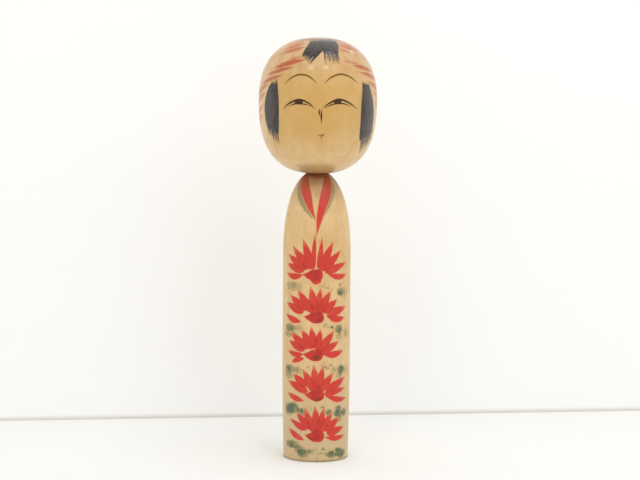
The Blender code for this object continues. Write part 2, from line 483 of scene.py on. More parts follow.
def dogwood(tree, wood, is_head):
    """The colour and relief of aged dogwood, a white, close wood whose rings and fibres barely show, and its
    soiling with painted shade laid over it.
    """
    in_mm = in_millimetres(tree)
    # The blank was split beside the pith, so its rings run as wandering upright lines
    centred = vector_calc(tree, "ADD", {0: in_mm, 1: HEAD_PITH if is_head else BODY_PITH})
    flat = vector_calc(tree, "MULTIPLY", {0: centred, 1: (1, 1, 0)})
    distance = node(tree, "ShaderNodeVectorMath", {0: flat}, operation="LENGTH").outputs["Value"]
    wander = fine_noise(tree, in_mm, (0.03, 0.03, 0.012), 2.0, 3.0)
    warped = calc(tree, "ADD", distance, product(tree, wander, 26.0))
    wave = calc(tree, "SINE", product(tree, warped, math.tau / RING_PITCH))
    ring = calc(tree, "POWER", calc(tree, "MULTIPLY_ADD", wave, 0.5, 0.5), 2.2)
    # Fibres are fine and many times longer than wide, clouds and stains are broad
    fibre = fine_noise(tree, in_mm, (1.6, 1.6, 0.05), 4.0, 7.0, 0.6)
    cloud = fine_noise(tree, in_mm, (0.045, 0.045, 0.03), 3.0, 1.0)
    stain = fine_noise(tree, in_mm, (0.16, 0.16, 0.09), 5.0, 9.0, 0.65)
    tone = product(tree, ring, 0.07 if is_head else 0.14)
    for field, amount in ((fibre, 0.45 if is_head else 0.75), (cloud, 1.2), (stain, 1.5)):
        tone = swing(tree, field, amount, tone)
    tone = calc(tree, "ADD", tone, 0.42, clamp=True)
    light, dark = (wood.head_light, wood.head_dark) if is_head else (wood.body_light, wood.body_dark)
    result = blend_colours(tree, tone, light, dark)
    axes = node(tree, "ShaderNodeSeparateXYZ", {0: in_mm})
    height = axes.outputs["Z"]
    if is_head:
        # Age and wax went deepest into the face, and least into the crown and the jaw
        low, high = HEAD_LOW.z / MM, HEAD_HIGH.z / MM
        rise = spread(tree, height, low + 8, low + 34)
        fall = spread(tree, height, high - 12, high - 36)
        front = spread(tree, axes.outputs["Y"], -16, -41)
        cloudy = calc(tree, "MULTIPLY_ADD", cloud, 0.5, 0.55)
        result = blend_colours(tree, product(tree, rise, fall, front, cloudy), result, wood.honey)
        rose = product(tree, spread(tree, height, high - 34, high - 14, 0.0, 0.5), stain)
        result = blend_colours(tree, rose, result, wood.rose)
        # A smudge under the chin, 30 mm wide: handling soil, and painted shade over the neck
        beside = swing(tree, stain, 14.0, calc(tree, "ABSOLUTE", calc(tree, "ADD", axes.outputs["X"], 0.5)))
        below = swing(tree, stain, 9.0, height)
        chin_smudge_and_shade = product(
            tree,
            spread(tree, beside, 14.5, 11.5),
            spread(tree, below, low + 9.0, low + 5.0),
            spread(tree, axes.outputs["Y"], 0, -10),
        )
        # The lowest 5 mm of the head darken towards the seat: handling soil, and painted shade over the neck
        dirt_and_shade = product(tree, calc(tree, "MAXIMUM", chin_smudge_and_shade, spread(tree, height, low + 5, low)), 0.4)
    else:
        top = BODY_HIGH.z / MM
        result = blend_colours(tree, spread(tree, height, 95, 10, 0.0, 0.75), result, wood.grey)
        # Painted shade under the head: the top 30 mm of the body darken towards the neck, over wood and dye
        # alike
        neck = calc(tree, "POWER", spread(tree, height, top - 30, top + 2), 1.5)
        # Painted contact shade: the lowest few millimetres darken towards the foot's edge by the floor
        foot = spread(tree, calc(tree, "MULTIPLY_ADD", stain, 3.0, height), 4.0, 1.2)
        dirt_and_shade = product(tree, calc(tree, "MAXIMUM", neck, foot), 0.68)
    # Pin specks, left by dust under the wax
    cells = node(tree, "ShaderNodeTexVoronoi", {"Vector": in_mm, "Scale": 0.14}, feature="F1")
    chance = node(tree, "ShaderNodeSeparateColor", {0: cells.outputs["Color"]}).outputs[0]
    kept = calc(tree, "LESS_THAN", chance, 0.45)
    speck = product(tree, spread(tree, cells.outputs["Distance"], 0.10, 0.03), kept, 0.5)
    dirt_and_shade = calc(tree, "MAXIMUM", dirt_and_shade, speck)
    # The gouge's rings, softened by polishing
    tool = calc(tree, "SINE", product(tree, height, math.tau / TOOL_PITCH))
    relief = calc(tree, "MULTIPLY_ADD", tool, 0.12, calc(tree, "MULTIPLY_ADD", fibre, 0.8, stain))
    return result, relief, dirt_and_shade


def finish_surface(material, base, relief, dirt_and_shade, grime_and_shade, roughness, coat):
    """Wires a colour and a relief into a waxed surface, with soiling and painted shade laid over both wood
    and dye.
    """
    tree = material.node_tree
    shader = tree.nodes["Principled BSDF"]
    tree.links.new(blend_colours(tree, dirt_and_shade, base, grime_and_shade), shader.inputs["Base Color"])
    for name, value in (
        ("Roughness", roughness),
        ("Coat Weight", coat),
        ("Specular IOR Level", SPECULAR),
        ("Coat Roughness", WAX_ROUGHNESS),
    ):
        shader.inputs[name].default_value = value
    bump = node(tree, "ShaderNodeBump", {"Height": relief, "Strength": 0.25, "Distance": RELIEF})
    tree.links.new(bump.outputs[0], shader.inputs["Normal"])


def blank(name):
    """A new material with nodes."""
    material = bpy.data.materials.new(name)
    material.use_nodes = True
    return material


def plain_wood(name, wood, is_head, gloss):
    """Dogwood turned and aged: close and satin where it was waxed on the lathe, dry and matte where bare."""
    material = blank(name)
    finish_surface(material, *dogwood(material.node_tree, wood, is_head), wood.grime_and_shade, *gloss)
    return material


def brushed_dye(
    name,
    wood,
    is_head,
    full,
    deep=None,
    mottle=0.35,
    grain=(0.5, 0.5, 0.12),
    ground=None,
    pools=(0.86, 1.04),
    gloss=None,
):
    """Dye or ink brushed on wood and waxed over: the wood shows through where the brush was thin."""
    material = blank(name)
    tree = material.node_tree
    base, relief, dirt_and_shade = dogwood(tree, wood, is_head)
    held = node(tree, "ShaderNodeAttribute", attribute_name="ink").outputs["Fac"]
    uneven = fine_noise(tree, in_millimetres(tree), grain, 4.0, 5.0, 0.6)
    amount = product(tree, held, swing(tree, uneven, mottle, 1.0))
    share = calc(tree, "DIVIDE", amount, FULL_DYE, clamp=True)
    painted = blend_colours(tree, share, base if ground is None else ground, full)
    if deep is not None:
        painted = blend_colours(tree, spread(tree, amount, *pools), painted, deep)
    gloss = gloss or (HEAD_GLOSS if is_head else BODY_GLOSS)
    finish_surface(material, painted, relief, dirt_and_shade, wood.grime_and_shade, *gloss)
    return material


# Painting: brush strokes on a canvas that is a turned side laid flat, in millimetres

CURVE_POINTS = 22  # along each stroke
FADE_ENDS = 0.3  # share of a stroke over which each end fades
SHAKE_SIZE = 2.2  # size of the waver of a painted edge
WAVES = 9
FAR = 1e3
EDGE_MARGIN = 0.08  # least share of a grid step between an edge point and a grid point


class Canvas:
    """The turned side of one body laid flat. Around: x is the arc at the widest ring, y the length along the
    side. Over the crown: the crown is the origin, the front is -y, and distance is length along the side."""

    def __init__(self, body, side, base, turn=0.0, crown=False):
        self.body = body
        self.side = side
        self.base = base / MM
        self.turn = turn
        self.crown = crown
        self.widest = max(across for across, _ in side) / MM
        points = np.array(side) / MM
        self.heights = points[:, 1]
        self.lengths = np.concatenate([[0], np.cumsum(np.hypot(*np.diff(points, axis=0).T))])

    def flat(self, degrees, up):
        """The flat place of an angle from the face's middle and a height above the piece's base."""
        angle = math.radians(degrees)
        along = float(np.interp(self.base + up, self.heights, self.lengths))
        if not self.crown:
            return (angle * self.widest, along)
        left = self.lengths[-1] - along
        return (left * math.sin(angle), -left * math.cos(angle))

    def wrap(self, points):
        """The reach, in metres, and the turn of flat points."""
        if self.crown:
            reach = self.lengths[-1] - np.hypot(points[:, 0], points[:, 1])
            turn = np.arctan2(points[:, 0], -points[:, 1])
        else:
            reach = points[:, 1]
            turn = points[:, 0] / self.widest
        return reach * MM, turn + self.turn


def smooth_line(points, steps=CURVE_POINTS):
    """A Catmull-Rom curve through points, whose rows may hold more than a place."""
    rows = np.array(points, float)
    if len(rows) == 2:
        share = np.linspace(0, 1, steps)[:, None]
        return rows[0] * (1 - share) + rows[1] * share
    padded = np.vstack([2 * rows[0] - rows[1], rows, 2 * rows[-1] - rows[-2]])
    made = []
    for share in np.linspace(0, len(rows) - 1, steps):
        at = min(int(share), len(rows) - 2)
        t = share - at
        p0, p1, p2, p3 = padded[at : at + 4]
        square, cube = 2 * p0 - 5 * p1 + 4 * p2 - p3, 3 * p1 - p0 - 3 * p2 + p3
        made.append(0.5 * (2 * p1 + (p2 - p0) * t + square * t**2 + cube * t**3))
    return np.array(made)


def stroke(points, widths, ink=0.8, fade=(1.0, 1.0)):
    """One touch of the brush: its path in flat millimetres, its widths along it, and how much dye it holds at
    its middle and, as shares of that, at its start and end."""
    path = smooth_line(points)
    share = np.linspace(0, 1, len(path))
    half = np.interp(share, np.linspace(0, 1, len(widths)), widths) / 2
    held = ink * np.interp(share, (0.0, FADE_ENDS, 1 - FADE_ENDS, 1.0), (fade[0], 1.0, 1.0, fade[1]))
    return np.column_stack([path[:, :2], half, held])


def soft_waves(rng, points, size):
    """A smooth random field between about -1 and 1, whose bumps are about this size in millimetres."""
    total = np.zeros(points.shape[:-1])
    for _ in range(WAVES):
        bearing = rng.uniform(0, math.tau)
        pace = math.tau / (size * rng.uniform(0.6, 1.8))
        along = points[..., 0] * math.cos(bearing) + points[..., 1] * math.sin(bearing)
        total += np.sin(along * pace + rng.uniform(0, 6))
    return total / math.sqrt(WAVES)


def paint_fields(strokes, pitch, soft, shake, seed):
    """The grid that the strokes cover, with each point's distance outside the painted edge and its dye."""
    rng = np.random.default_rng(seed)
    reach = max(line[:, 2].max() for line in strokes) + 3 * pitch
    low = np.min([line[:, :2].min(0) for line in strokes], axis=0) - reach
    high = np.max([line[:, :2].max(0) for line in strokes], axis=0) + reach
    across = np.arange(low[0], high[0], pitch)
    along = np.arange(low[1], high[1], pitch)
    grid = np.stack(np.meshgrid(across, along, indexing="ij"), axis=-1)
    outside = np.full(grid.shape[:2], FAR)
    clear = np.ones(grid.shape[:2])
    waver = soft_waves(rng, grid, SHAKE_SIZE) * shake
    for line in strokes:
        room = line[:, 2].max() + 2 * pitch + 3 * shake
        part = tuple(
            slice(*np.searchsorted(marks, (line[:, axis].min() - room, line[:, axis].max() + room)))
            for axis, marks in enumerate((across, along))
        )
        spots = grid[part]
        nearest = np.full(spots.shape[:2], FAR)
        held = np.zeros(spots.shape[:2])
        for start, end in zip(line, line[1:]):
            step = end[:2] - start[:2]
            size = max(float(step @ step), 1e-9)
            t = np.clip(((spots - start[:2]) @ step) / size, 0, 1)
            centre = start[:2] + t[..., None] * step
            away = np.linalg.norm(spots - centre, axis=-1) - (start[2] + t * (end[2] - start[2]))
            closer = away < nearest
            nearest = np.where(closer, away, nearest)
            held = np.where(closer, start[3] + t * (end[3] - start[3]), held)
        nearest = nearest + waver[part]
        cover = np.clip(-nearest / soft, 0, 1)
        clear[part] *= 1 - held * cover * cover * (3 - 2 * cover)
        outside[part] = np.minimum(outside[part], nearest)
    return across, along, outside, 1 - clear


def trace(across, along, outside, dye):
    """The painted shape as points with their dye, and faces cut to the painted edge."""
    points, held, faces = [], [], []
    seen = {}

    def spot(cell):
        if cell not in seen:
            seen[cell] = len(points)
            points.append((across[cell[0]], along[cell[1]]))
            held.append(dye[cell])
        return seen[cell]

    def edge(first, second):
        key = (min(first, second), max(first, second))
        if key not in seen:
            one, two = key
            share = outside[one] / (outside[one] - outside[two])
            share = min(max(share, EDGE_MARGIN), 1 - EDGE_MARGIN)
            seen[key] = len(points)
            x = across[one[0]] + share * (across[two[0]] - across[one[0]])
            y = along[one[1]] + share * (along[two[1]] - along[one[1]])
            points.append((x, y))
            held.append(0.0)
        return seen[key]

    inside = outside < 0
    cells = inside[:-1, :-1] | inside[1:, :-1] | inside[1:, 1:] | inside[:-1, 1:]
    for i, j in np.argwhere(cells).tolist():
        ring = [(i, j), (i + 1, j), (i + 1, j + 1), (i, j + 1)]
        face = []
        for at in range(4):
            here, there = ring[at], ring[(at + 1) % 4]
            if inside[here]:
                face.append(spot(here))
            if inside[here] != inside[there]:
                face.append(edge(here, there))
        faces.append(face)
    return np.array(points), np.array(held), faces


def paint(name, canvas, strokes, material, layer, pitch=0.3, soft=0.35, shake=0.05, seed=SEED):
    """Brushes strokes on a canvas and wraps them round the wood as one thin closed film."""
    doll = bpy.context.scene.doll_paint
    points, held, faces = trace(*paint_fields(strokes, pitch, soft, shake, seed))
    flat = bpy.data.meshes.new(name + "_flat")
    flat.from_pydata([(x * MM, y * MM, 0.0) for x, y in points], [], faces)
    reach, turn = canvas.wrap(points)
    for label, values in (("reach", reach), ("turn", turn), ("ink", held)):
        column = flat.attributes.new(label, "FLOAT", "POINT").data
        column.foreach_set("value", np.ascontiguousarray(values, np.float32))
    source = bpy.data.objects.new(name + "_flat", flat)
    bpy.context.scene.collection.objects.link(source)
    side = chain(name + "_side", canvas.side)
    values = {"Side": side, "Soak": doll.soak, "Film": doll.film * layer, "Paint": material}
    tree = bpy.data.node_groups.get("wrap_paint_film") or film_tree()
    piece = settle(name, source, tree, values)
    bpy.data.objects.remove(side, do_unlink=True)
    for label in ("reach", "turn"):
        piece.data.attributes.remove(piece.data.attributes[label])
    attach(piece, canvas.body)


def body_canvas():
    """The body's side laid flat, heights from the foot."""
    return Canvas("body", body_side(bpy.context.scene.doll_turning), 0.0)


def head_canvas(crown=False):
    """The head's side laid flat, heights from the seat, angles from the middle of the face."""
    scene = bpy.context.scene
    return Canvas("head", head_side(scene.doll_turning), HEAD_LOW.z, scene.doll_paint.face_turn, crown)


def lock(canvas, first, last, count, width, ink=0.95, fade=(1.0, 1.0)):
    """A mass of hair: strokes fanned between a first and a last path, each a list of (degrees, height)."""
    one = smooth_line([canvas.flat(*point) for point in first], 9)
    two = smooth_line([canvas.flat(*point) for point in last], 9)
    made = []
    for share in np.linspace(0, 1, count):
        path = one * (1 - share) + two * share
        made.append(stroke(path, [width * 0.7, width, width, width, width * 0.7], ink, fade))
    return made


def tufts(canvas, roots, tips, count, width, seed, stray=1.2, ink=0.95):
    """Pointed hair ends from one line of roots to one line of tips, each line a list of (degrees, height)."""
    rng = np.random.default_rng(seed)
    start = smooth_line([canvas.flat(*point) for point in roots], count)
    end = smooth_line([canvas.flat(*point) for point in tips], count)
    made = []
    for root, tip in zip(start, end):
        way = (tip - root) / np.linalg.norm(tip - root)
        side = np.array([-way[1], way[0]])
        tip = tip + way * rng.uniform(-stray, stray) + side * rng.uniform(-0.3, 0.3)
        middle = (root + tip) / 2 + side * rng.uniform(-0.15, 0.15)
        size = width * rng.uniform(0.75, 1.2)
        made.append(stroke([root, middle, tip], [size, size * 0.85, 0.25], ink, (1.0, 0.7)))
    return made


# Operators


class DOLL_OT_turn_wood(Operator):
    """Turns the body, the neck peg and the head in fine dogwood"""

    bl_idname = "doll.turn_wood"
    bl_label = "Turn the wood"

    def execute(self, context):
        scene = context.scene
        turning, wood = scene.doll_turning, scene.doll_wood
        tree = lathe_tree()
        # Waxed dogwood outside, and bare dogwood for the peg
        for name, outline, wood_name, is_head, gloss, body, slot in (
            ("turned_body", body_outline, "waxed_dogwood_body", False, BODY_GLOSS, "body", "body_wood"),
            ("turned_head", head_outline, "waxed_dogwood_head", True, HEAD_GLOSS, "head", "head_wood"),
            ("turned_neck_peg", peg_outline, "bare_dogwood_peg", False, BARE_GLOSS, "body", "peg_wood"),
        ):
            values = {"Facets": turning.facets, "Wood": plain_wood(wood_name, wood, is_head, gloss)}
            piece = settle(name, chain(name + "_outline", outline(turning)), tree, values)
            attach(piece, body)
            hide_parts(name.removeprefix("turned_"))
        return {"FINISHED"}


class DOLL_OT_paint_hair(Operator):
    """Paints the forelock and both side locks in black ink"""

    bl_idname = "doll.paint_hair"
    bl_label = "Paint the hair"

    def execute(self, context):
        doll, wood = context.scene.doll_paint, context.scene.doll_wood
        # Soot ink, which shows the wood's grain where the brush ran dry
        grain = (0.45, 0.45, 0.09)
        ink = brushed_dye("brushed_black_ink", wood, True, doll.ink, doll.deep_ink, mottle=0.55, grain=grain)
        side, crown = head_canvas(), head_canvas(crown=True)
        first = [(-16, 93.2), (-16.5, 91.0), (-19.0, 87.0), (-20.8, 83.6)]
        last = [(5, 93.8), (4, 91.0), (1.8, 87.6), (-4.6, 83.0)]
        forelock = lock(crown, first, last, 7, 3.0)
        forelock += tufts(crown, [(-20.4, 85.5), (-4, 84.5)], [(-23.0, 81.0), (-13.4, 77.0)], 9, 1.5, 2, 0.8)
        forelock += tufts(crown, [(0.6, 86.5), (-5, 82.5)], [(-3.6, 82.0), (-12.8, 76.0)], 4, 1.4, 3, 0.4)
        first = [(7, 93.9), (6, 91.0), (5, 87.6), (5.2, 84.8)]
        last = [(33, 93.6), (28.5, 91.0), (23.0, 87.4), (20.6, 84.2)]
        forelock += lock(crown, first, last, 8, 3.0, 0.84)
        forelock += tufts(crown, [(4.4, 86.8), (22.0, 86.2)], [(4.4, 77.0), (20.4, 76.4)], 11, 1.5, 5, 1.4)
        paint("forelock", crown, forelock, ink, 2)
        # Thin ink that ran back over the crown
        across = [crown.flat(*point) for point in ((-44, 94.6), (8, 94.4), (60, 94.6))]
        back = [crown.flat(8, 95.0), crown.flat(188, 96.6)]
        wash = [stroke(across, [8, 11, 8], 0.46), stroke(back, [16, 9], 0.12)]
        paint("crown_wash", crown, wash, ink, 1, soft=2.6)
        first = [(-46.6, 63.0), (-44.9, 52.0), (-45.2, 38.0), (-46.8, 29.0)]
        last = [(-56.5, 61.5), (-63.0, 50.0), (-63.2, 40.0), (-61.8, 34.0)]
        left = lock(side, first, last, 7, 3.2)
        left += tufts(side, [(-46.0, 62.0), (-56.5, 61.0)], [(-46.6, 67.6), (-55.0, 65.4)], 8, 1.3, 6, 0.8)
        left += tufts(side, [(-46.6, 31.0), (-62.4, 36.0)], [(-49.0, 20.0), (-62.6, 26.6)], 9, 1.7, 7, 1.0)
        paint("sidelock_left", side, left, ink, 2)
        first = [(46.2, 62.4), (44.6, 46.0), (45.4, 31.0), (47.0, 25.0)]
        last = [(56.0, 62.2), (64.0, 47.0), (65.8, 34.0), (67.0, 29.5)]
        right = lock(side, first, last, 8, 3.2, fade=(0.7, 1.0))
        right += tufts(side, [(45.8, 61.8), (56.6, 61.6)], [(45.8, 66.2), (56.4, 64.4)], 11, 1.3, 8, 0.8, 0.7)
        right += tufts(side, [(46.2, 30.0), (68.0, 32.0)], [(56.0, 13.2), (71.6, 22.0)], 11, 1.8, 9, 1.0)
        paint("sidelock_right", side, right, ink, 2)
        return {"FINISHED"}


class DOLL_OT_paint_face(Operator):
    """Paints brows, eyes, nose and mouth"""

    bl_idname = "doll.paint_face"
    bl_label = "Paint the face"

    def execute(self, context):
        doll, wood = context.scene.doll_paint, context.scene.doll_wood
        side = head_canvas()
        # Ink, thinner for the brows, and a faded red for the mouth
        line_ink = brushed_dye("line_ink", wood, True, doll.line_ink, mottle=0.2, gloss=LINE_GLOSS)
        brow_ink = brushed_dye("thin_brow_ink", wood, True, doll.brow_ink, mottle=0.3, gloss=LINE_GLOSS)
        lip = brushed_dye("faded_lip_dye", wood, True, doll.lip, mottle=0.4)

        def line(points, widths, held=0.95, fade=(0.6, 0.6)):
            return stroke([side.flat(*point) for point in points], widths, held, fade)

        # Widths along a brow, an upper lid, a lower lid and a pupil
        arc = [0.4, 1.25, 1.55, 1.55, 1.25, 0.4]
        lid = [0.35, 1.2, 1.5, 1.5, 1.2, 0.4]
        under = [0.3, 1.1, 1.2, 1.0, 0.3]
        pupil = [2.5, 2.7, 2.5]
        brow_left = [line([(-37, 62.9), (-29.5, 67.7), (-20, 69.8), (-11, 68.1), (-3.6, 63.3)], arc)]
        brow_right = [line([(2.8, 63.6), (10.7, 68.2), (20.7, 70.2), (31, 68.1), (40, 63.3)], arc)]
        eye_left = [
            line([(-38, 45.7), (-31.3, 49.6), (-21.2, 52.3), (-12.3, 50.3), (-5.2, 45.7)], lid),
            line([(-32, 47.6), (-26, 49.3), (-20.8, 49.6), (-15, 49.2), (-9.4, 47.8)], under),
            line([(-23.7, 50.9), (-18.6, 51.0)], pupil, fade=(1, 1)),
        ]
        eye_right = [
            line([(1.1, 46.2), (8, 50.0), (17.2, 52.7), (28.2, 50.3), (38.6, 45.4)], lid),
            line([(3.6, 46.5), (10.5, 49.1), (16.6, 49.9), (23.5, 49.6), (30.4, 47.9)], under),
            line([(13.7, 51.2), (18.4, 51.3)], pupil, fade=(1, 1)),
        ]
        nose = [
            line([(-1.5, 46.0), (-1.6, 43.5), (-1.3, 41.3)], [0.6, 1.35, 0.4], 0.9),
            line([(0.3, 45.6), (0.5, 41.0), (0.4, 35.6)], [0.6, 1.5, 0.3]),
        ]
        mouth = [
            line([(-2.8, 28.0), (-0.6, 27.5), (1.6, 27.6), (4.2, 28.9)], [0.4, 1.2, 1.4, 0.5], 0.85),
            line([(0.8, 26.0), (1.5, 26.1)], [1.2, 1.2], 0.65),
        ]
        for name, strokes, material, slot in (
            ("brow_left", brow_left, brow_ink, "black_ink"),
            ("brow_right", brow_right, brow_ink, "black_ink"),
            ("eye_left", eye_left, line_ink, "black_ink"),
            ("eye_right", eye_right, line_ink, "black_ink"),
            ("nose", nose, line_ink, "black_ink"),
            ("mouth", mouth, lip, "red_dye"),
        ):
            paint(name, side, strokes, material, 2, pitch=0.14, soft=0.18, shake=0.02)
        return {"FINISHED"}


class DOLL_OT_paint_crown(Operator):
    """Paints the red strokes that fan from the forelock over the crown and down the temples"""

    bl_idname = "doll.paint_crown"
    bl_label = "Paint the crown strokes"

    def execute(self, context):
        doll, wood = context.scene.doll_paint, context.scene.doll_wood
        # Red dye, faded to brick on the head
        red = brushed_dye("faded_red_dye_head", wood, True, doll.old_red, mottle=0.6, grain=(0.25, 0.25, 0.6))
        side, crown = head_canvas(), head_canvas(crown=True)
        lens = [0.6, 2.6, 3.8, 3.4, 0.8]  # widths along a touch of size 1

        def touches(canvas, rows):
            made = []
            for size, held, points in rows:
                path = [canvas.flat(*point) for point in points]
                made.append(stroke(path, [size * part for part in lens], held, (0.5, 0.7)))
            return made

        left = [
            (0.8, 0.50, [(-21, 82.2), (-28, 81.6), (-38, 80.4)]),
            (1.35, 0.82, [(-15, 80.4), (-34, 78.2), (-57, 74.0)]),
            (1.1, 0.66, [(-26, 75.4), (-45, 72.9), (-68, 68.8)]),
            (1.1, 0.62, [(-37, 69.9), (-55, 67.2), (-78, 62.6)]),
            (1.5, 0.56, [(-58, 63.8), (-74, 59.8), (-92, 54.5)]),
            (1.5, 0.52, [(-62, 57.8), (-78, 53.2), (-95, 47.5)]),
            (1.4, 0.48, [(-66, 50.0), (-80, 44.5), (-94, 38.5)]),
            (1.2, 0.42, [(-68, 43.0), (-80, 38.5), (-92, 33.5)]),
        ]
        right = [
            (0.7, 0.42, [(22, 79.8), (35, 78.8), (50, 77.4)]),
            (1.2, 0.64, [(34, 76.8), (52, 75.2), (72, 72.6)]),
            (1.2, 0.60, [(41, 72.2), (60, 70.0), (82, 66.0)]),
            (1.4, 0.56, [(52, 65.8), (70, 62.4), (90, 57.6)]),
            (1.4, 0.50, [(64, 58.6), (79, 55.0), (95, 50.2)]),
            (1.3, 0.46, [(67, 52.0), (80, 48.4), (94, 43.6)]),
        ]
        paint("temple_strokes_left", side, touches(side, left), red, 1, soft=1.0)
        paint("temple_strokes_right", side, touches(side, right), red, 1, soft=1.0)
        fan = [
            (1.5, 0.42, [(-34, 95.6), (-58, 94.2), (-84, 91.6)]),
            (1.4, 0.50, [(-24, 94.0), (-42, 92.4), (-66, 89.4)]),
            (1.4, 0.56, [(-20, 92.4), (-38, 90.2), (-62, 86.4)]),
            (1.5, 0.60, [(-20, 89.6), (-34, 87.6), (-56, 84.0)]),
            (1.5, 0.42, [(50, 95.4), (68, 94.0), (90, 91.4)]),
            (1.4, 0.52, [(36, 93.8), (50, 92.0), (72, 88.4)]),
            (1.7, 0.60, [(27, 91.4), (46, 89.4), (72, 85.4)]),
            (1.1, 0.44, [(26, 88.0), (34, 87.0), (46, 84.6)]),
            (0.9, 0.40, [(32, 92.8), (44, 91.4), (62, 88.4)]),
            # Worn dye between the strokes
            (1.7, 0.14, [(28, 86.6), (52, 85.0), (82, 81.4)]),
            (1.7, 0.10, [(-30, 87.0), (-54, 84.6), (-84, 80.6)]),
        ]
        strokes = touches(crown, fan)
        # Behind the forelock the strokes go on round the crown like the spokes of a wheel
        for step in range(9):
            degrees = 100 + 20 * step
            path = [crown.flat(degrees, up) for up in (96.6, 94.4, 90.2)]
            strokes.append(stroke(path, [0.3, 2.2, 3.6, 3.0, 0.4], 0.5, (0.6, 0.6)))
        paint("crown_strokes", crown, strokes, red, 1, soft=1.5)
        return {"FINISHED"}


class DOLL_OT_paint_collar(Operator):
    """Paints the two lapels of the collar, right over left, and the grey line beside them"""

    bl_idname = "doll.paint_collar"
    bl_label = "Paint the collar"

    def execute(self, context):
        doll, wood = context.scene.doll_paint, context.scene.doll_wood
        side = body_canvas()
        # Red dye, and a thin grey that ran out of the brush with it
        red = brushed_dye("red_dye_collar", wood, False, doll.red, doll.deep_red, mottle=0.35)
        grey = brushed_dye("thin_grey_dye", wood, False, doll.outline, mottle=0.5)

        def band(points, widths, held):
            return stroke([side.flat(*point) for point in points], widths, held, (0.9, 0.9))

        path = [(-66, 205.4), (-47, 202), (-24.5, 192), (-12.5, 182), (-1.5, 172.8)]
        left = band(path, [8, 12, 9.4, 4.8, 0.5], 0.7)
        path = [(42, 205.4), (34, 201.5), (19.5, 192), (9.2, 181.8), (3.6, 172.8), (-0.8, 161.8)]
        right = band(path, [8, 10.5, 10.4, 7.0, 4.6, 0.5], 0.72)
        paint("collar_left", side, [left], red, 1, soft=0.5)
        paint("collar_right", side, [right], red, 2, soft=0.5)
        path = [(-66, 201), (-54, 197), (-36, 188.6), (-21.5, 181.2), (-5, 173.2)]
        lines = [band(path, [1.5, 6.8, 7.4, 5.2, 1.0], 0.5)]
        path = [(52, 200), (42, 195.0), (31.5, 189.5), (19.5, 182.2), (6.5, 172.6)]
        lines.append(band(path, [1.2, 6.2, 6.0, 4.8, 1.0], 0.46))
        paint("collar_outline", side, lines, grey, 0.5, soft=1.3, shake=0.3)
        wash = [band([(-34, 204.8), (0, 204.6), (34, 204.8)], [7, 9, 7], 0.6)]
        wash.append(band([(-3, 203), (1, 190)], [22, 5], 0.14))
        paint("neck_wash", side, wash, red, 0.5, soft=3.0)
        return {"FINISHED"}


# Each flower: the hub as (arc, height); the fan's petals as (bearing from upright in degrees, distance of the
# tip from the hub, distance of the root, width, and for some a sideways drift of the root); the low petals as
# (bearing of the tip, its distance, bearing of the root, its distance, width, sag). Lengths are in mm
FLOWERS = (
    (
        (-0.6, 134.2),
        (
            (-73, 26.9, 9.4, 4.9), (-58, 28.2, 8.0, 5.3), (-42, 28.8, 6.4, 5.6),
            (-20, 28.4, 5.0, 5.6, -0.9), (-1, 31.3, 4.3, 3.4, -2.1), (-3, 17.0, 4.2, 1.5, -0.8),
            (5, 17.0, 4.2, 1.5, 0.9), (9, 29.6, 4.3, 3.5, 1.6), (28, 28.2, 4.7, 5.4, 0.8),
            (48, 27.0, 5.4, 5.5, 0.2), (71, 27.8, 7.2, 5.0),
        ),
        ((-88, 26.0, -88, 8.8, 5.0, 1.8), (89, 27.4, 82, 8.3, 4.8, 2.1), (-128, 4.0, 128, 4.0, 6.6, 0.8)),
    ),
    (
        (0.4, 104.2),
        (
            (-70, 28.4, 10.8, 5.4), (-55, 27.4, 9.6, 5.6), (-37, 25.2, 4.5, 5.6), (-12, 23.6, 2.5, 5.8),
            (7, 22.4, 2.5, 5.0), (27, 22.2, 3.0, 5.6), (50, 20.6, 6.0, 5.2), (74, 26.2, 7.8, 5.6),
        ),
        ((-87, 27.8, -107, 11.7, 5.0, 0.9), (92, 23.6, 80, 6.8, 5.4, 1.6)),
    ),
    (
        (-0.2, 77.2),
        (
            (-67, 25.0, 9.0, 5.0), (-52, 26.4, 7.8, 5.6), (-30, 21.4, 5.8, 5.6), (-10, 21.4, 5.1, 5.2),
            (10, 19.8, 4.7, 4.8), (38, 23.0, 3.4, 5.4), (62, 21.2, 3.4, 5.0),
        ),
        (
            (-84, 24.4, -86, 8.4, 4.4, 1.4), (-108, 21.0, -106, 8.6, 4.4, -0.8),
            (83, 23.2, 86, 5.2, 5.4, 1.2),
        ),
    ),
    (
        (0.9, 48.4),
        (
            (-69, 26.8, 7.4, 5.4), (-52, 24.0, 10.4, 5.4), (-30, 22.4, 3.2, 5.6), (-7, 23.0, 2.0, 5.8),
            (11, 22.8, 2.0, 5.4), (36, 20.8, 3.6, 5.2), (63, 27.6, 7.4, 5.4), (80, 25.4, 5.4, 4.4, -0.4),
        ),
        ((-88, 25.8, -115, 10.4, 4.8, 0.6), (97, 27.2, 92, 5.4, 4.6, 1.8)),
    ),
    (
        (1.3, 18.8),
        (
            (-63, 26.6, 9.4, 4.0), (-44, 24.2, 7.4, 5.0), (-27, 23.4, 3.0, 5.6), (-5, 23.0, 2.0, 5.6),
            (13, 22.2, 2.0, 5.2), (33, 21.6, 3.6, 5.2), (53, 22.4, 7.0, 5.4), (76, 24.2, 7.4, 5.0),
        ),
        ((-79, 25.8, -108, 10.2, 5.0, 0.6), (91, 25.2, 98, 5.2, 4.4, 1.4)),
    ),
)
